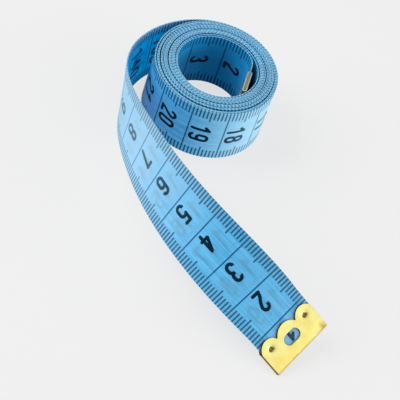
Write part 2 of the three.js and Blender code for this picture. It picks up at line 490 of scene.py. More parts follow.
@dataclass(frozen=True)
class PrintedCloth:
    """One printed face of the woven tape, thin enough for light to come through."""

    face: TapeFace
    plain: Colour
    pale: Colour
    painted_veils: tuple[PaintedVeil, ...]
    sheen: float
    specular: float
    light_let_through: float
    top_light_share: float
    ink_glow: float
    through_colour: Colour = paint(60, 208, 248)
    rule_ink: Colour = paint(4, 50, 84)
    figure_ink: Colour = paint(0, 28, 44)
    # Painted shade: the colour and share of the far face's print, painted in as if seen through the
    # cloth
    painted_show_through: Colour = paint(8, 104, 168)
    show_through_share: float = 0.14
    # Painted light: the pale colour that the painted veils and the painted top light mix in, and how
    # much the veils lighten the ink
    painted_pale: Colour = paint(184, 214, 224)
    veil_ink_loss: float = 0.5
    # Painted light: a band along one edge of the loose tape, painted paler as if lit from above
    top_light_from: float = 7.2
    top_light_blend: float = 3.6
    top_light_dulling: float = 0.5
    streak_scale: tuple[float, float] = (0.05, 3.2)
    streak_low: float = 0.3
    streak_gain: float = 2.5
    warp_pitch: float = 0.42
    weft_pitch: float = 0.34
    weave_depth: float = 0.00003
    weave_strength: float = 0.2
    rule_cover: float = 0.85
    roughness: float = 0.5
    roughness_spread: float = 0.1
    ink_specular: float = 0.03
    sheen_roughness: float = 0.6
    backed_from: float = 124.0
    backed_blend: float = 24.0

    def make(self, print_group: bpy.types.NodeTree) -> bpy.types.Material:
        """Makes the finish.

        Args:
            print_group: The printed scale.

        Returns:
            The material.
        """
        material = bpy.data.materials.new(f"printed_cloth_{self.face.name.lower()}")
        graph = ShaderGraph.of(material)
        own, other = graph.uv(OUTER_SCALE), graph.uv(INNER_SCALE)
        along = own[0]
        loose = along.below(self.backed_from, self.backed_blend)
        if self.face is TapeFace.INNER:
            own, other = other, own
        reading, across = own
        rules, figures = self.printed(graph, print_group, own)
        far_rules, far_figures = self.printed(graph, print_group, other)

        streak = graph.noise(reading * self.streak_scale[0], across * self.streak_scale[1])
        ground = graph.mix((streak - self.streak_low) * self.streak_gain, self.plain, self.pale)
        # Painted shade: the far face's print is painted faintly into the ground, as light coming
        # through the cloth shows it
        ground = graph.mix((far_rules | far_figures) * self.show_through_share, ground, self.painted_show_through)
        # Painted light: the loose tape is painted paler along one edge, as light from above makes it
        painted_top_light = (1.0 - across.below(self.top_light_from, self.top_light_blend)) * loose * self.top_light_share
        ground = graph.mix(painted_top_light, ground, self.painted_pale)
        cover = (rules * self.rule_cover | figures) * (1.0 - loose * self.ink_glow)
        # Painted light: each veil pales the ground and lightens the ink, as bright grazing light would
        for veil in self.painted_veils:
            amount = veil.amount(along)
            ground = graph.mix(amount, ground, self.painted_pale)
            cover = cover * (1.0 - amount * amount * self.veil_ink_loss)
        warp = (across * (math.tau / self.warp_pitch)).sine()
        weft = (reading * (math.tau / self.weft_pitch)).sine()
        weave = warp * weft * 0.5 + 0.5
        normal = graph.bump(weave, self.weave_depth, self.weave_strength)
        smoothest = self.roughness - self.roughness_spread / 2
        cloth = graph.shader(
            {
                "Base Color": ground,
                "Roughness": streak * self.roughness_spread + smoothest,
                "Specular IOR Level": self.specular,
                "Sheen Weight": self.sheen,
                "Sheen Roughness": self.sheen_roughness,
                "Normal": normal,
            }
        )
        glow = graph.add("ShaderNodeBsdfTranslucent", inputs={"Color": self.through_colour})
        ink = graph.shader(
            {
                "Base Color": graph.mix(figures, self.rule_ink, self.figure_ink),
                "Roughness": self.roughness,
                "Specular IOR Level": self.ink_specular,
                "Normal": normal,
            }
        )
        # Less light comes through under the painted top light
        let_through = (loose - painted_top_light * self.top_light_dulling) * self.light_let_through
        thin = graph.over(let_through, cloth, glow.outputs[0])
        graph.finish(graph.over(cover, thin, ink))
        return material

    @staticmethod
    def printed(
        graph: ShaderGraph, print_group: bpy.types.NodeTree, place: tuple[Value, Value]
    ) -> tuple[Value, Value]:
        """The masks of the rules and the figures, by the reading and the place across."""
        made = graph.add("ShaderNodeGroup", {"node_tree": print_group}, dict(enumerate(place))).outputs
        return Value(graph, made["Rules"]), Value(graph, made["Figures"])


OUTER_CLOTH = PrintedCloth(
    face=TapeFace.OUTER,
    plain=paint(36, 156, 209),
    pale=paint(98, 192, 231),
    # Painted veils, standing in for bright light: in the clip's window, over the tail's flat end, on
    # the tail's hump that faces the left lamps, and on the coil's right side
    painted_veils=(
        PaintedVeil(4.0, 4.5, 3.0, 0.45),
        PaintedVeil(0.0, 34.0, 14.0, 0.16),
        PaintedVeil(82.0, 31.0, 40.0, 0.8),
        PaintedVeil(140.0, 42.0, 18.0, 0.53),
    ),
    sheen=0.05,
    specular=0.35,
    light_let_through=0.38,
    top_light_share=0.0,
    ink_glow=0.0,
)
INNER_CLOTH = PrintedCloth(
    face=TapeFace.INNER,
    # Painted shade: the inner face's ground is deeper than the outer face's, standing in for the shade
    # in the bore and in the loop
    plain=paint(0, 136, 198),
    pale=paint(4, 146, 206),
    painted_veils=(),
    sheen=0.05,
    specular=0.05,
    light_let_through=0.85,
    # Painted top light on the loop's upper edge
    top_light_share=0.75,
    ink_glow=0.15,
)


@dataclass(frozen=True)
class CutEdge:
    """The long edge of the tape: pale threads, ink where a tick ends, and glue inside a clip."""

    pale: Colour = paint(150, 206, 230)
    dull: Colour = paint(80, 147, 188)
    ink: Colour = paint(20, 82, 122)
    glue: Colour = paint(132, 134, 122)
    tick_width: float = 0.45
    tick_blend: float = 0.15
    tick_share: float = 1.1
    thread_pitch: float = 0.5
    thread_share: float = 0.35
    thread_depth: float = 0.00004
    thread_strength: float = 0.3
    mottle_scale: tuple[float, float] = (1.7, 0.1)
    mottle_detail: float = 4.0
    mottle_low: float = 0.3
    mottle_gain: float = 1.6
    roughness: float = 0.4
    roughness_spread: float = 0.2

    def make(self, clip_length: float) -> bpy.types.Material:
        """Makes the finish.

        Args:
            clip_length: How far the inner clip covers the tape.

        Returns:
            The material.
        """
        material = bpy.data.materials.new("tape_edge")
        graph = ShaderGraph.of(material)
        reading, across = graph.uv(OUTER_SCALE)
        inner_reading, _ = graph.uv(INNER_SCALE)
        thread = (reading * (math.tau / self.thread_pitch)).sine() * 0.5 + 0.5
        mottle = graph.noise(
            reading * self.mottle_scale[0], across * self.mottle_scale[1], self.mottle_detail
        )
        paleness = thread * self.thread_share + (mottle - self.mottle_low) * self.mottle_gain
        ground = graph.mix(paleness, self.dull, self.pale)
        tick = abs(reading - reading.nearest()).below(self.tick_width / 2, self.tick_blend)
        ground = graph.mix(tick * mottle * self.tick_share, ground, self.ink)
        edge = graph.shader(
            {
                "Base Color": graph.mix(inner_reading < clip_length, ground, self.glue),
                "Roughness": mottle * self.roughness_spread + self.roughness,
                "Normal": graph.bump(thread, self.thread_depth, self.thread_strength),
            }
        )
        graph.finish(edge)
        return material


@dataclass(frozen=True)
class Brass:
    """Bright pressed brass with a few scuffs, tarnish in the corners, painted shade in the dimples and
    along the fold, and a painted shadow on one side of the lobes.
    """

    bright: Colour = paint(206, 199, 126)
    warm: Colour = paint(201, 178, 88)
    # Painted shade: the darker colour along the fold
    painted_fold_shade: Colour = paint(150, 116, 44)
    # Tarnish in a corner, and painted shade in the dimples
    tarnish_and_shade: Colour = paint(92, 56, 14)
    # Painted shadow: the dark colour of the band along one side of the lobes
    painted_edge_shadow: Colour = paint(40, 32, 16)
    edge_shadow_reach: float = 0.182
    shoulder_slack: float = 0.4
    roughness: float = 0.34
    cloud_scale: float = 0.35
    cloud_detail: float = 3.0
    cloud_share: float = 1.6
    grain_scale: tuple[float, float] = (6.0, 0.5)
    grain_relief: float = 0.15
    grain_roughness: float = 0.16
    corner_place: tuple[float, float] = (1.0, 1.1)
    corner_reach: float = 0.9
    corner_blend: float = 1.4
    corner_cloud_low: float = 0.1
    corner_share: float = 1.25
    # Painted shade inside the dimples
    dimple_shade_reach: float = 0.9
    dimple_shade_blend: float = 0.25
    dimple_shade_share: float = 0.85
    warm_reach: float = 0.45
    warm_blend: float = 0.9
    warm_share: float = 0.6
    # Painted shade along the fold
    fold_shade_blend: float = 0.1
    fold_shade_share: float = 0.7
    stain_and_shade_roughness: float = 0.15
    relief_depth: float = 0.0002
    relief_strength: float = 0.12

    def make(self, clip: "EndClip") -> bpy.types.Material:
        """Makes the finish.

        Args:
            clip: The clip whose corners hold the tarnish and whose dimples and outline hold the painted
                shade.

        Returns:
            The material.
        """
        material = bpy.data.materials.new("pressed_brass")
        graph = ShaderGraph.of(material)
        along, across = graph.uv(CLIP_PATTERN)
        cloud = graph.noise(along * self.cloud_scale, across * self.cloud_scale, self.cloud_detail)
        grain = graph.noise(along * self.grain_scale[0], across * self.grain_scale[1])
        from_fold, from_side = self.corner_place
        to_corner = (across - clip.width / 2 + from_side).to(along - from_fold)
        corner = to_corner.below(self.corner_reach, self.corner_blend) * (cloud - self.corner_cloud_low)
        dimple = abs(across) - (clip.width / 2 - clip.dimple_inset)
        to_dimple = dimple.to(along - clip.dimple_distance)
        # Painted shade: the dimples are painted dark, as the shade inside deep punched holes
        dimple_shade = to_dimple.below(clip.dimple_radius * self.dimple_shade_reach, self.dimple_shade_blend)
        near_fold = (along / clip.length).below(self.warm_reach, self.warm_blend)
        warmth = near_fold * self.warm_share + (cloud - 0.5) * self.cloud_share
        ground = graph.mix(warmth, self.bright, self.warm)
        # Painted shade: a darker band along the fold
        fold_shade_mask = along.below(clip.stock.fold_outside, self.fold_shade_blend) * self.fold_shade_share
        ground = graph.mix(fold_shade_mask, ground, self.painted_fold_shade)
        # The corner's tarnish and the dimples' painted shade share one colour
        stain_and_shade_masks = (corner * self.corner_share, dimple_shade * self.dimple_shade_share)
        stain_and_shade = graph.math("MAXIMUM", *stain_and_shade_masks, clamp=True)
        ground = graph.mix(stain_and_shade, ground, self.tarnish_and_shade)
        relief = cloud + grain * self.grain_relief
        smoothest = self.roughness - self.grain_roughness / 2
        metal = graph.shader(
            {
                "Base Color": graph.mix(self.shadowed_edge(clip, along, across), ground, self.painted_edge_shadow),
                "Metallic": 1.0,
                "Roughness": grain * self.grain_roughness + smoothest + stain_and_shade * self.stain_and_shade_roughness,
                "Normal": graph.bump(relief, self.relief_depth, self.relief_strength),
            }
        )
        graph.finish(metal)
        return material

    def shadowed_edge(self, clip: "EndClip", along: Value, across: Value) -> Value:
        """A painted shadow: a dark band on one side of the outline, standing in for the shadow line at
        the lobes' edges.

        Args:
            clip: The clip whose outline it follows.
            along: Distance from the fold.
            across: Place across the clip, from its middle.

        Returns:
            A mask that is 1 on the painted shadow.
        """
        ahead = along + self.edge_shadow_reach
        aside = across - self.edge_shadow_reach
        half = clip.width / 2
        middle = aside.to(ahead - (clip.length - clip.middle_lobe)) - clip.middle_lobe
        to_side = abs(aside) - (half - clip.side_lobe_inset)
        side = to_side.to(ahead - (clip.length - clip.side_lobe)) - clip.side_lobe
        body = ahead - (clip.length - clip.side_lobe - self.shoulder_slack)
        return (middle & side & body) > 0.0


@dataclass(frozen=True)
class CutBrass:
    """The cut edge of the clip's sheet."""

    colour: Colour
    metallic: float = 0.6
    roughness: float = 0.5

    def make(self) -> bpy.types.Material:
        """Makes the finish.

        Returns:
            The material.
        """
        material = bpy.data.materials.new("cut_brass")
        graph = ShaderGraph.of(material)
        inputs = {"Base Color": self.colour, "Metallic": self.metallic, "Roughness": self.roughness}
        graph.finish(graph.shader(inputs))
        return material


# Lit and shaded copies of the cut edge: the inner clip's edge is painted pale as a highlight, and the
# zero clip's edge is painted dark as shade
LIT_CUT = CutBrass(paint(188, 192, 182))
SHADED_CUT = CutBrass(paint(84, 72, 46))


@dataclass(frozen=True)
class PaleFloor:
    """A plain pale floor that shows its own colour and a faint shadow."""

    shown: Colour = paint(236, 236, 236)
    lit: Colour = paint(228, 228, 228)
    plain_share: float = 0.84

    def make(self) -> bpy.types.Material:
        """Makes the finish.

        Returns:
            The material.
        """
        material = bpy.data.materials.new("pale_floor")
        graph = ShaderGraph.of(material)
        rays = graph.add("ShaderNodeLightPath").outputs
        seen = Value(graph, rays["Is Camera Ray"]) | Value(graph, rays["Is Glossy Ray"])
        seen = seen | Value(graph, rays["Is Transmission Ray"])
        matt = graph.add("ShaderNodeBsdfDiffuse", inputs={"Color": self.lit})
        plain = graph.add("ShaderNodeEmission", inputs={"Color": self.shown, "Strength": 1.0})
        graph.finish(graph.over(seen * self.plain_share, matt.outputs[0], plain.outputs[0]))
        return material


@dataclass(frozen=True)
class Place:
    """One place along the tape, with its readings on both scales."""

    point: Vector
    forward: Vector
    up: Vector
    outer_reading: float
    inner_reading: float


@dataclass(frozen=True)
class TapeStock:
    """What the tape and its clips share: sizes in millimetres and the place of the coil's axis."""

    width: float = 18.0
    thickness: float = 0.3
    edge_rounding: float = 0.066
    coil_diameter: float = 34.0
    bore_diameter: float = 22.0
    free_length: float = 140.0
    leaving_angle: float = 72.5
    clip_length: float = 9.15
    clip_sheet: float = 0.4
    clip_clearance: float = 0.12
    fold_setback: float = 5.3
    flat_run_out: float = 0.35
    printed_length: float = 1501.4
    zero_trim: float = 0.2
    zero_clip_extra: float = 0.3
    zero_clip_shift: float = -0.2
    inner_zero: float = 1.5

    @property
    def inner_radius(self) -> float:
        """Radius of the first turn's middle surface."""
        return (self.bore_diameter + self.thickness) / 2

    @property
    def outer_radius(self) -> float:
        """Radius of the last turn's middle surface."""
        return (self.coil_diameter - self.thickness) / 2

    @property
    def fold_inside(self) -> float:
        """Inner radius of a clip's fold."""
        return self.thickness / 2 + self.clip_clearance

    @property
    def fold_outside(self) -> float:
        """Outer radius of a clip's fold."""
        return self.fold_inside + self.clip_sheet

    @property
    def flat_offset(self) -> float:
        """Distance of the flat inner end from the coil's axis."""
        return math.sqrt((self.bore_diameter / 2) ** 2 - self.fold_setback**2) - self.fold_outside

    @property
    def flat_end(self) -> float:
        """How far the flat inner end runs past the axis."""
        return self.clip_length + self.flat_run_out - self.fold_setback

    @cached_property
    def axis(self) -> Vector:
        """The foot of the coil's axis, from the inner clip's place in the frame."""
        low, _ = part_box("inner_end_clip")
        x = low.x / MM - (self.flat_offset - self.fold_outside)
        return Vector((x, low.y / MM + self.fold_setback, 0.0))

    def standing(self, x: float, y: float, heading: float, lift: float = 0.0) -> Spot:
        """Where the tape stands upright, from the coil's axis, with its heading in radians."""
        point = self.axis + Vector((x, y, self.width / 2 + lift))
        return point, Vector((math.cos(heading), math.sin(heading), 0.0)), Vector((0.0, 0.0, 1.0))


def set_out(name: str, data: bpy.types.ID) -> bpy.types.Object:
    """Adds an object to the scene.

    Args:
        name: The object's name.
        data: Its mesh, lamp or camera.

    Returns:
        The new object, at the origin.
    """
    made = bpy.data.objects.new(name, data)
    bpy.context.scene.collection.objects.link(made)
    return made


def end_shape(name: str, shape: bmesh.types.BMesh) -> bpy.types.Object:
    """Makes a finished shape an object of the scene.

    Args:
        name: The object's name.
        shape: The shape, which is freed.

    Returns:
        The new object, at the origin.
    """
    mesh = bpy.data.meshes.new(name)
    shape.to_mesh(mesh)
    shape.free()
    return set_out(name, mesh)


@dataclass(frozen=True)
class Wall:
    """The thickness of a sheet and the rounding of its edges, in millimetres and degrees."""

    thickness: float
    rounding: float
    segments: int
    sharp_angle: float
    clamped: bool

    def add_to(self, piece: bpy.types.Object, inside: int, rim: int) -> None:
        """Adds both as modifiers.

        Args:
            piece: The sheet.
            inside: How far on in the list the inner face's material is.
            rim: How far on in the list the rim's material is.
        """
        wall = piece.modifiers.new("thickness", "SOLIDIFY")
        wall.thickness = self.thickness * MM
        wall.offset = 0.0
        wall.material_offset = inside
        wall.material_offset_rim = rim
        edges = piece.modifiers.new("rounding", "BEVEL")
        edges.width = self.rounding * MM
        edges.segments = self.segments
        edges.limit_method = "ANGLE"
        edges.angle_limit = math.radians(self.sharp_angle)
        edges.use_clamp_overlap = self.clamped
        edges.harden_normals = True


def lay_tape(
    name: str,
    stock: TapeStock,
    places: Sequence[Place],
    columns: int,
    finishes: Mapping[TapeFace, bpy.types.Material],
) -> bpy.types.Object:
    """Lays a woven sheet along a list of places, gives it its thickness and dresses it.

    Args:
        name: The piece's name.
        stock: The tape's sizes.
        places: Where the sheet runs, in order.
        columns: How many faces it has across.
        finishes: The material of each face of the tape.

    Returns:
        The new object, with both scales as UV maps.
    """
    sheet = bmesh.new()
    last = len(places) - 1
    bmesh.ops.create_grid(sheet, x_segments=last, y_segments=columns, size=0.5)
    outer = sheet.loops.layers.uv.new(OUTER_SCALE)
    inner = sheet.loops.layers.uv.new(INNER_SCALE)
    for face in sheet.faces:
        face.smooth = True
        for corner in face.loops:
            place = places[round((corner.vert.co.x + 0.5) * last)]
            across = corner.vert.co.y * stock.width
            corner[outer].uv = (place.outer_reading, across)
            corner[inner].uv = (place.inner_reading, across)
    for vert in sheet.verts:
        place = places[round((vert.co.x + 0.5) * last)]
        vert.co = (place.point + place.up * (vert.co.y * stock.width)) * MM
    piece = end_shape(name, sheet)
    wall = Wall(stock.thickness, stock.edge_rounding, segments=2, sharp_angle=50.0, clamped=True)
    wall.add_to(piece, TapeFace.INNER.value, TapeFace.EDGE.value)
    for face in TapeFace:
        piece.data.materials.append(finishes[face])
    return piece


@dataclass
class WoundTape:
    """The coil: the flat inner end, one bend, and a spiral of close turns."""

    stock: TapeStock
    whole_turns: int = 15
    step: float = 1.0
    bend_steps: int = 8
    columns: int = 4
    loose_angle: float = -100.0
    sag: float = 0.4
    sag_turns: tuple[float, float] = (0.05, 0.5)
    bulge: float = 0.2
    bulge_angle: float = -175.0
    bulge_spread: float = 50.0
    lift: float = 0.22
    lift_turns: tuple[float, float] = (0.2, 1.5)
    lift_waves: tuple[float, float] = (2.3, 0.9)
    settling_turns: float = 1.0

    # Air between the layers where the coil is loose, from the outermost layer inwards
    front_gaps: tuple[float, ...] = (
        0.13, 0.03, 0.53, 0.08, 0.21, 0.03, 0.07, 0.29, 0.03, 0.13, 0.03, 0.03, 0.03, 0.03,
    )

    # Air between the layers across from there, from the first layer outwards
    back_gaps: tuple[float, ...] = (0.2, 0.45, 0.0, 0.0, 0.0, 0.0, 0.35)

    def looseness(self, angle: float) -> float:
        """From 1 where the coil is loose to 0 across from there, by the angle in radians."""
        return 0.5 + 0.5 * math.cos(angle - math.radians(self.loose_angle))

    def air(self, angle: float, last: float) -> float:
        """All the air between the first layer and a place of the winding.

        Args:
            angle: The angle of the place, with its whole turns, in radians.
            last: The angle at which the winding ends.

        Returns:
            The air in millimetres.
        """
        loose = math.radians(self.loose_angle)
        turned, whole = (angle - loose) / math.tau, (last - loose) / math.tau
        behind = math.floor(whole + 0.5) - math.floor(turned + 0.5)
        front = sum(self.front_gaps[behind:]) * self.looseness(angle)
        back = sum(self.back_gaps[: math.floor(turned)]) * (1 - self.looseness(angle))
        return front + back

    def places(self) -> list[Place]:
        """Works out the winding from the inner end outwards.

        Returns:
            The places along the tape.
        """
        stock = self.stock
        rise = stock.inner_radius - stock.flat_offset
        bend_radius = (stock.inner_radius**2 - stock.flat_offset**2 - stock.flat_end**2) / (2 * rise)
        bend_angle = math.atan2(stock.flat_end, stock.flat_offset - bend_radius)
        spots = []
        straight = stock.flat_end + stock.fold_setback - stock.fold_outside
        count = math.ceil(straight / self.step)
        for i in range(count + 1):
            y = stock.fold_outside - stock.fold_setback + straight * i / count
            spots.append(stock.standing(stock.flat_offset, y, math.pi / 2))
        for i in range(1, self.bend_steps + 1):
            angle = bend_angle * i / self.bend_steps
            x = stock.flat_offset - bend_radius + bend_radius * math.cos(angle)
            y = stock.flat_end + bend_radius * math.sin(angle)
            spots.append(stock.standing(x, y, angle + math.pi / 2))
        spots.extend(self.spiral(bend_angle))
        return self.measured(spots)

    def slack(self, angle: float) -> float:
        """How far the loose last turn stands off the rest, by its angle in radians."""
        off = (math.degrees(angle) - self.bulge_angle) / self.bulge_spread
        return self.bulge * math.exp(-(off**2))

    def spiral(self, start: float) -> list[Spot]:
        """The turns, from the end of the first bend to the point where the tape leaves the coil.

        Args:
            start: The angle at which the spiral starts, in radians.

        Returns:
            The places of the tape.
        """
        stock = self.stock
        part = ((math.radians(stock.leaving_angle) - start) / math.tau) % 1.0
        turns = self.whole_turns + part
        count = math.ceil(turns * math.tau * stock.outer_radius / self.step)
        last = start + math.tau * turns
        pitch = (stock.outer_radius - stock.inner_radius - self.air(last, last)) / turns
        LOG.info("winding: %.2f turns, least pitch %.3f mm", turns, pitch)
        slow, quick = self.lift_waves
        points = []
        for i in range(1, count + 1):
            turn = turns * i / count
            angle = start + math.tau * turn
            radius = stock.inner_radius + pitch * turn + self.air(angle, last)
            radius -= self.sag * self.looseness(angle) * smooth(*self.sag_turns, turn)
            radius += self.slack(math.tau * (turn - turns) + math.radians(stock.leaving_angle))
            wave = 0.5 + 0.25 * math.sin(slow * turn) + 0.25 * math.sin(quick * angle + 1.0)
            lift = self.lift * wave * smooth(*self.lift_turns, turn)
            lift *= 1 - smooth(turns - self.settling_turns, turns, turn)
            x, y = radius * math.cos(angle), radius * math.sin(angle)
            points.append(stock.standing(x, y, angle + math.pi / 2, lift))
        return points

    def measured(self, spots: Sequence[Spot]) -> list[Place]:
        """Adds the readings of both scales.

        Args:
            spots: The places of the tape.

        Returns:
            The places with their readings.
        """
        stock = self.stock
        gone = [stock.fold_outside]
        for before, after in zip(spots, spots[1:]):
            gone.append(gone[-1] + (after[0] - before[0]).to_2d().length)
        whole = gone[-1] + stock.free_length
        LOG.info("winding: %.1f mm of tape, %.1f mm in all", gone[-1], whole)
        return [
            Place(point, forward, up, whole - distance, distance - stock.inner_zero)
            for (point, forward, up), distance in zip(spots, gone)
        ]

    def build(self, finishes: Mapping[TapeFace, bpy.types.Material]) -> Place:
        """Makes the coil.

        Args:
            finishes: The material of each face of the tape.

        Returns:
            The place at which the tape ends inside the coil.
        """
        places = self.places()
        piece = lay_tape("wound_tape", self.stock, places, self.columns, finishes)
        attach(piece, "coil")
        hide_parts("tape_coil")
        length = (places[-1].inner_reading - places[0].inner_reading) * MM
        self.stock.width * MM
        LOG.info("made %s", piece.name)
        return places[0]


@dataclass
class FreeTape:
    """The loose end: a loop round the coil, then a twist that lays the tape down."""

    stock: TapeStock
    step: float = 1.0
    columns: int = 6
    flex_distance: float = 86.0
    flex_reach: float = 16.0

    # Distance from the zero end, then bend and twist in degrees per millimetre
    route: tuple[tuple[float, float, float], ...] = (
        (0.0, 0.0, 0.0),
        (9.15, 0.0, 0.0),
        (14.0, 1.31, -1.62),
        (30.0, 0.95, -1.23),
        (45.0, 0.78, -0.79),
        (60.0, 0.64, -0.65),
        (75.0, 0.43, -0.77),
        (90.0, 1.86, -0.54),
        (105.0, 2.28, 0.44),
        (120.0, 2.34, 0.26),
        (140.0, 3.49, 0.0),
    )

    def curving(self, distance: float) -> Vector:
        """The turn of the tape at a distance from the zero end.

        Args:
            distance: Distance along the tape.

        Returns:
            Radians per millimetre about the tape's own forward, inner and upward ways.
        """
        for before, after in zip(self.route, self.route[1:]):
            if distance <= after[0]:
                break
        share = (distance - before[0]) / (after[0] - before[0])
        bend, twist = (math.radians(a + (b - a) * share) for a, b in zip(before[1:], after[1:]))
        return Vector((twist, 0.0, bend))

    def places(self) -> list[Place]:
        """Walks from the outer turn towards the zero end.

        Returns:
            The places along the tape.
        """
        stock = self.stock
        leaving = math.radians(stock.leaving_angle)
        x, y = (stock.outer_radius * way for way in (math.cos(leaving), math.sin(leaving)))
        point = stock.standing(x, y, 0.0)[0]
        turn = Quaternion((0.0, 0.0, 1.0), leaving + math.pi / 2)
        length = stock.free_length - stock.fold_outside - stock.zero_trim
        count = math.ceil(length / self.step)
        step = length / count
        places = [self.at(point, turn, stock.free_length)]
        for i in range(count):
            change = self.curving(stock.free_length - (i + 0.5) * step) * step
            half = Quaternion(change.normalized(), change.length / 2) if change.length else Quaternion()
            turn = turn @ half
            point = point + turn @ Vector((step, 0.0, 0.0))
            turn = turn @ half
            places.append(self.at(point, turn, stock.free_length - (i + 1) * step))
        return places

    def at(self, point: Vector, turn: Quaternion, reading: float) -> Place:
        """One place of the walk.

        Args:
            point: The middle of the tape.
            turn: How the tape is turned there.
            reading: Distance from the zero end.

        Returns:
            The place with its readings.
        """
        forward = turn @ Vector((1.0, 0.0, 0.0))
        up = turn @ Vector((0.0, 0.0, 1.0))
        return Place(point, forward, up, reading, self.stock.printed_length - reading)

    def build(self, finishes: Mapping[TapeFace, bpy.types.Material]) -> Place:
        """Makes the loose end.

        Args:
            finishes: The material of each face of the tape.

        Returns:
            The place at which the tape ends.
        """
        places = self.places()
        piece = lay_tape("free_tape", self.stock, places, self.columns, finishes)
        flex = min(places, key=lambda place: abs(place.outer_reading - self.flex_distance))
        reach = flex.forward * self.flex_reach
        (flex.point - reach) * MM
        (flex.point + reach) * MM
        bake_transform(piece)
        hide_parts("tape_loop", "tape_tail")
        length = (places[0].outer_reading - places[-1].outer_reading) * MM
        self.stock.width * MM
        LOG.info("made %s", piece.name)
        return places[-1]


@dataclass
class EndClip:
    """A brass sheet folded over an end of the tape, with a scalloped edge, a window and two dimples."""

    stock: TapeStock
    end: TapeEnd
    cut: CutBrass
    length: float
    width: float
    side_shift: float = 0.0
    middle_lobe: float = 4.05
    side_lobe: float = 3.2
    side_lobe_inset: float = 2.9
    window_length: float = 5.0
    window_width: float = 2.9
    window_distance: float = 4.65
    dimple_radius: float = 0.85
    dimple_lip: float = 2.45
    dimple_depth: float = 0.45
    dimple_distance: float = 6.2
    dimple_inset: float = 2.9
    dimple_segments: int = 24
    rounding: float = 0.11
    arc_steps: int = 14
    leaf_merge: float = 1e-5
    fold_merge: float = 1e-4

    # Each step of a dimple, as shares of its radius and of its depth
    punch_steps: tuple[tuple[float, float], ...] = (
        (2.2, 0.0), (1.35, 0.14), (1.0, 0.11), (0.82, 0.25), (0.62, 0.3), (0.3, 0.2),
    )

    @property
    def leaf_height(self) -> float:
        """Distance of a leaf's middle from the middle of the tape."""
        return (self.stock.fold_inside + self.stock.fold_outside) / 2

    def arc(
        self, blank: bmesh.types.BMesh, start: bmesh.types.BMVert, centre: Vector, angle: float
    ) -> bmesh.types.BMVert:
        """Draws an arc from a point of an outline, by its angle in radians, and gives its end."""
        made = bmesh.ops.spin(
            blank, geom=[start], cent=centre, axis=(0.0, 0.0, 1.0), angle=angle, steps=self.arc_steps
        )
        return next(item for item in made["geom_last"] if isinstance(item, bmesh.types.BMVert))

    def outline(self, blank: bmesh.types.BMesh, height: float) -> None:
        """Draws the straight sides and the three lobes of a leaf.

        Args:
            blank: The mesh to draw in.
            height: Height of the leaf.
        """
        half = self.width / 2
        back = self.stock.fold_outside
        middle = Vector((self.length - self.middle_lobe, 0.0, height))
        side = Vector((self.length - self.side_lobe, half - self.side_lobe_inset, height))
        apart = (side - middle).length
        share = (apart**2 + self.middle_lobe**2 - self.side_lobe**2) / (2 * apart)
        to_side = math.atan2(side.y - middle.y, side.x - middle.x)
        valley_angle = to_side - math.acos(share / self.middle_lobe)
        to_valley = Vector((math.cos(valley_angle), math.sin(valley_angle), 0.0))
        valley = middle + to_valley * self.middle_lobe
        inward = math.atan2(valley.y - side.y, valley.x - side.x)
        outward = math.asin(min(1.0, self.side_lobe_inset / self.side_lobe))
        shoulder_x = side.x + self.side_lobe * math.cos(outward)

        first = blank.verts.new((back, -half, height))
        shoulder = blank.verts.new((shoulder_x, -half, height))
        blank.edges.new((first, shoulder))
        lower = Vector((side.x, -side.y, height))
        valley_vert = self.arc(blank, shoulder, lower, outward - inward)
        valley_vert = self.arc(blank, valley_vert, middle, 2 * valley_angle)
        shoulder = self.arc(blank, valley_vert, side, outward - inward)
        last = blank.verts.new((back, half, height))
        blank.edges.new((shoulder, last))
        blank.edges.new((last, first))

    def window(self, blank: bmesh.types.BMesh, height: float) -> None:
        """Draws the oblong window.

        Args:
            blank: The mesh to draw in.
            height: Height of the leaf.
        """
        radius = self.window_width / 2
        reach = self.window_length / 2 - radius
        first = blank.verts.new((self.window_distance + radius, reach, height))
        far = self.arc(blank, first, Vector((self.window_distance, reach, height)), math.pi)
        near = blank.verts.new((self.window_distance - radius, -reach, height))
        blank.edges.new((far, near))
        last = self.arc(blank, near, Vector((self.window_distance, -reach, height)), math.pi)
        blank.edges.new((last, first))

    def dimples(self, blank: bmesh.types.BMesh, height: float) -> list[list[bmesh.types.BMEdge]]:
        """Draws the rims of the two dimples.

        Args:
            blank: The mesh to draw in.
            height: Height of the leaf.

        Returns:
            The edges of each rim.
        """
        rims = []
        for across in (self.dimple_inset - self.width / 2, self.width / 2 - self.dimple_inset):
            place = Matrix.Translation((self.dimple_distance, across, height))
            lip = self.dimple_radius * self.dimple_lip
            ring = bmesh.ops.create_circle(
                blank, segments=self.dimple_segments, radius=lip, matrix=place
            )
            rims.append(list(dict.fromkeys(edge for vert in ring["verts"] for edge in vert.link_edges)))
        return rims

    def punch(self, blank: bmesh.types.BMesh, rim: list[bmesh.types.BMEdge]) -> None:
        """Presses a dimple down inside its rim.

        Args:
            blank: The mesh that holds the rim.
            rim: The edges of the rim.
        """
        edges = rim
        for share, drop in self.punch_steps:
            made = bmesh.ops.extrude_edge_only(blank, edges=edges)["geom"]
            verts = [item for item in made if isinstance(item, bmesh.types.BMVert)]
            edges = [item for item in made if isinstance(item, bmesh.types.BMEdge)]
            centre = sum((vert.co for vert in verts), Vector()) / len(verts)
            wide = (verts[0].co - centre).length / self.dimple_radius
            squeeze = Matrix.Scale(share / wide, 4)
            bmesh.ops.transform(blank, matrix=squeeze, space=Matrix.Translation(-centre), verts=verts)
            bmesh.ops.translate(blank, vec=(0.0, 0.0, self.dimple_depth * drop), verts=verts)
        bmesh.ops.contextual_create(blank, geom=edges)

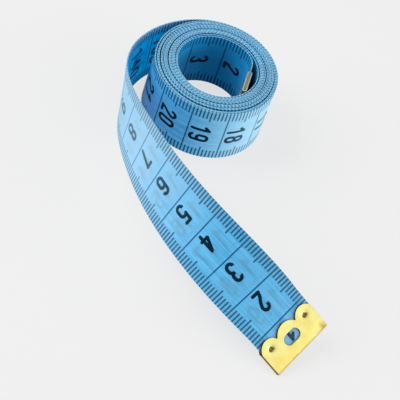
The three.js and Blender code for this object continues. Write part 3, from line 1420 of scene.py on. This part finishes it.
    def leaf(self, height: float, dimpled: bool) -> bmesh.types.BMesh:
        """Cuts one flat leaf.

        Args:
            height: Height of the leaf.
            dimpled: Whether the two dimples are punched in it.

        Returns:
            The leaf as a sheet.
        """
        blank = bmesh.new()
        self.outline(blank, height)
        self.window(blank, height)
        rims = self.dimples(blank, height) if dimpled else []
        bmesh.ops.remove_doubles(blank, verts=blank.verts[:], dist=self.leaf_merge)
        bmesh.ops.triangle_fill(blank, use_beauty=True, use_dissolve=False, edges=blank.edges[:])
        for rim in rims:
            self.punch(blank, rim)
        return blank

    def at_fold(self, vert: bmesh.types.BMVert) -> bool:
        """Whether a point of a leaf is one of its corners at the fold."""
        off = (vert.co.x - self.stock.fold_outside, abs(vert.co.y) - self.width / 2)
        return all(abs(distance) < self.fold_merge for distance in off)

    def sheet(self) -> bmesh.types.BMesh:
        """Folds the clip: two leaves and the round fold between them.

        Returns:
            The clip as a sheet in its own frame, with the fold at the zero of X.
        """
        showing = self.leaf(-self.leaf_height, True)
        hidden = self.leaf(self.leaf_height, False)
        spare = bpy.data.meshes.new("spare_leaf")
        hidden.to_mesh(spare)
        hidden.free()
        at_back = [edge for edge in showing.edges if all(map(self.at_fold, edge.verts))]
        bmesh.ops.spin(
            showing,
            geom=at_back + list(dict.fromkeys(vert for edge in at_back for vert in edge.verts)),
            cent=(self.stock.fold_outside, 0.0, 0.0),
            axis=(0.0, 1.0, 0.0),
            angle=math.pi,
            steps=self.arc_steps,
        )
        showing.from_mesh(spare)
        bpy.data.meshes.remove(spare)
        bmesh.ops.remove_doubles(showing, verts=showing.verts[:], dist=self.fold_merge)
        bmesh.ops.recalc_face_normals(showing, faces=showing.faces[:])
        return showing

    def build(self, place: Place, finish: Brass) -> None:
        """Makes the clip on its end of the tape.

        Args:
            place: Where the tape ends.
            finish: The metal.
        """
        inward = place.forward if self.end is TapeEnd.LAST else -place.forward
        through = inward.cross(place.up)
        corner = place.point - inward * self.stock.fold_outside + place.up * self.side_shift
        seat = Matrix((inward, place.up, through)).transposed().to_4x4()
        seat = Matrix.Scale(MM, 4) @ Matrix.Translation(corner) @ seat

        clip = self.sheet()
        pattern = clip.loops.layers.uv.new(CLIP_PATTERN)
        for face in clip.faces:
            face.smooth = True
            for loop in face.loops:
                loop[pattern].uv = loop.vert.co.to_2d()
        bmesh.ops.transform(clip, matrix=seat, verts=clip.verts[:])
        piece = end_shape(f"{self.end.value}_brass_clip", clip)
        wall = Wall(self.stock.clip_sheet, self.rounding, segments=3, sharp_angle=55.0, clamped=False)
        wall.add_to(piece, inside=0, rim=1)
        piece.data.materials.append(finish.make(self))
        piece.data.materials.append(self.cut.make())
        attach(piece, "coil" if self.end is TapeEnd.LAST else "tail")
        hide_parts(f"{self.end.value}_end_clip")
        LOG.info("made %s", piece.name)


@dataclass
class Studio:
    """The floor, the soft lights and the camera at the photograph's angle."""

    axis: Vector
    floor_size: float = 6.0
    world_strength: float = 0.27
    camera_offset: Vector = Vector((-1.0705, -327.111, 340.607))
    target_offset: Vector = Vector((7.28, -40.02, 10.0))
    camera_roll: float = 20.79
    camera_lens: float = 153.0
    camera_clip_start: float = 0.01

    @property
    def camera_place(self) -> Vector:
        """Where the camera stands, in metres."""
        return (self.axis + self.camera_offset) * MM

    @property
    def camera_target(self) -> Vector:
        """What the camera looks at, in metres."""
        return (self.axis + self.target_offset) * MM

    def floor(self, finish: PaleFloor) -> None:
        """Lays the floor.

        Args:
            finish: The floor's finish.
        """
        plane = bmesh.new()
        bmesh.ops.create_grid(plane, x_segments=1, y_segments=1, size=self.floor_size / 2)
        floor = end_shape("floor", plane)
        floor.data.materials.append(finish.make())

    def world(self) -> None:
        """Surrounds the object with an even pale light."""
        world = bpy.data.worlds.new("studio")
        graph = ShaderGraph.of(world)
        inputs = {"Color": paint(255, 255, 255), "Strength": self.world_strength}
        light = graph.add("ShaderNodeBackground", inputs=inputs)
        graph.add("ShaderNodeOutputWorld", inputs={"Surface": light.outputs[0]})
        bpy.context.scene.world = world

    def aim(self, name: str, data: bpy.types.ID, place: Vector, roll: float = 0.0) -> bpy.types.Object:
        """Sets out a lamp or a camera that faces the object.

        Args:
            name: Its name.
            data: The lamp or the camera.
            place: Where it hangs, in metres.
            roll: Its turn about the way that it faces, in degrees.

        Returns:
            The new object.
        """
        hung = set_out(name, data)
        hung.location = place
        hung.rotation_mode = "QUATERNION"
        facing = (self.camera_target - place).to_track_quat("-Z", "Y")
        hung.rotation_quaternion = facing @ Quaternion((0.0, 0.0, 1.0), math.radians(roll))
        return hung

    def softbox(self, name: str, place: Vector, size: float, power: float) -> None:
        """Hangs a square lamp that faces the object.

        Args:
            name: The lamp's name.
            place: Where it hangs, in metres.
            size: The length of its sides, in metres.
            power: Its power in watts.
        """
        lamp = bpy.data.lights.new(name, "AREA")
        lamp.size = size
        lamp.energy = power
        self.aim(name, lamp, place)

    def camera(self) -> None:
        """Sets up the camera."""
        data = bpy.data.cameras.new("camera")
        data.lens = self.camera_lens
        data.clip_start = self.camera_clip_start
        bpy.context.scene.camera = self.aim("camera", data, self.camera_place, self.camera_roll)

    def build(self) -> None:
        """Makes the whole set."""
        self.camera()
        self.floor(PaleFloor())
        self.world()
        self.softbox("key_softbox", Vector((0.45, -0.1, 0.75)), 0.9, 3.2)
        self.softbox("left_softbox", Vector((-0.72, -0.18, 0.13)), 0.5, 2.6)
        self.softbox("high_left_softbox", Vector((-0.55, 0.0, 0.55)), 0.5, 4.8)
        self.softbox("right_softbox", Vector((0.7, 0.0, 0.12)), 0.5, 4.6)
        self.softbox("back_softbox", Vector((-0.5, 0.5, 0.3)), 0.5, 1.0)
        self.softbox("front_softbox", Vector((0.55, -0.65, 0.14)), 0.4, 1.3)
        bpy.context.scene.view_settings.view_transform = "Standard"


def main() -> None:
    """Builds the tape, its clips and the studio."""
    logging.basicConfig(level=logging.INFO, format="%(name)s: %(message)s")
    stock = TapeStock()
    print_group = PrintedScale().group()
    finishes = {
        TapeFace.OUTER: OUTER_CLOTH.make(print_group),
        TapeFace.INNER: INNER_CLOTH.make(print_group),
        TapeFace.EDGE: CutEdge().make(stock.clip_length),
    }
    Studio(stock.axis).build()
    inner_end = WoundTape(stock).build(finishes)
    zero_end = FreeTape(stock).build(finishes)
    brass = Brass()
    EndClip(stock, TapeEnd.LAST, LIT_CUT, stock.clip_length, stock.width).build(inner_end, brass)
    length = stock.clip_length - stock.zero_trim
    width = stock.width + stock.zero_clip_extra
    EndClip(stock, TapeEnd.ZERO, SHADED_CUT, length, width, stock.zero_clip_shift).build(zero_end, brass)


if __name__ == "__main__":
    main()
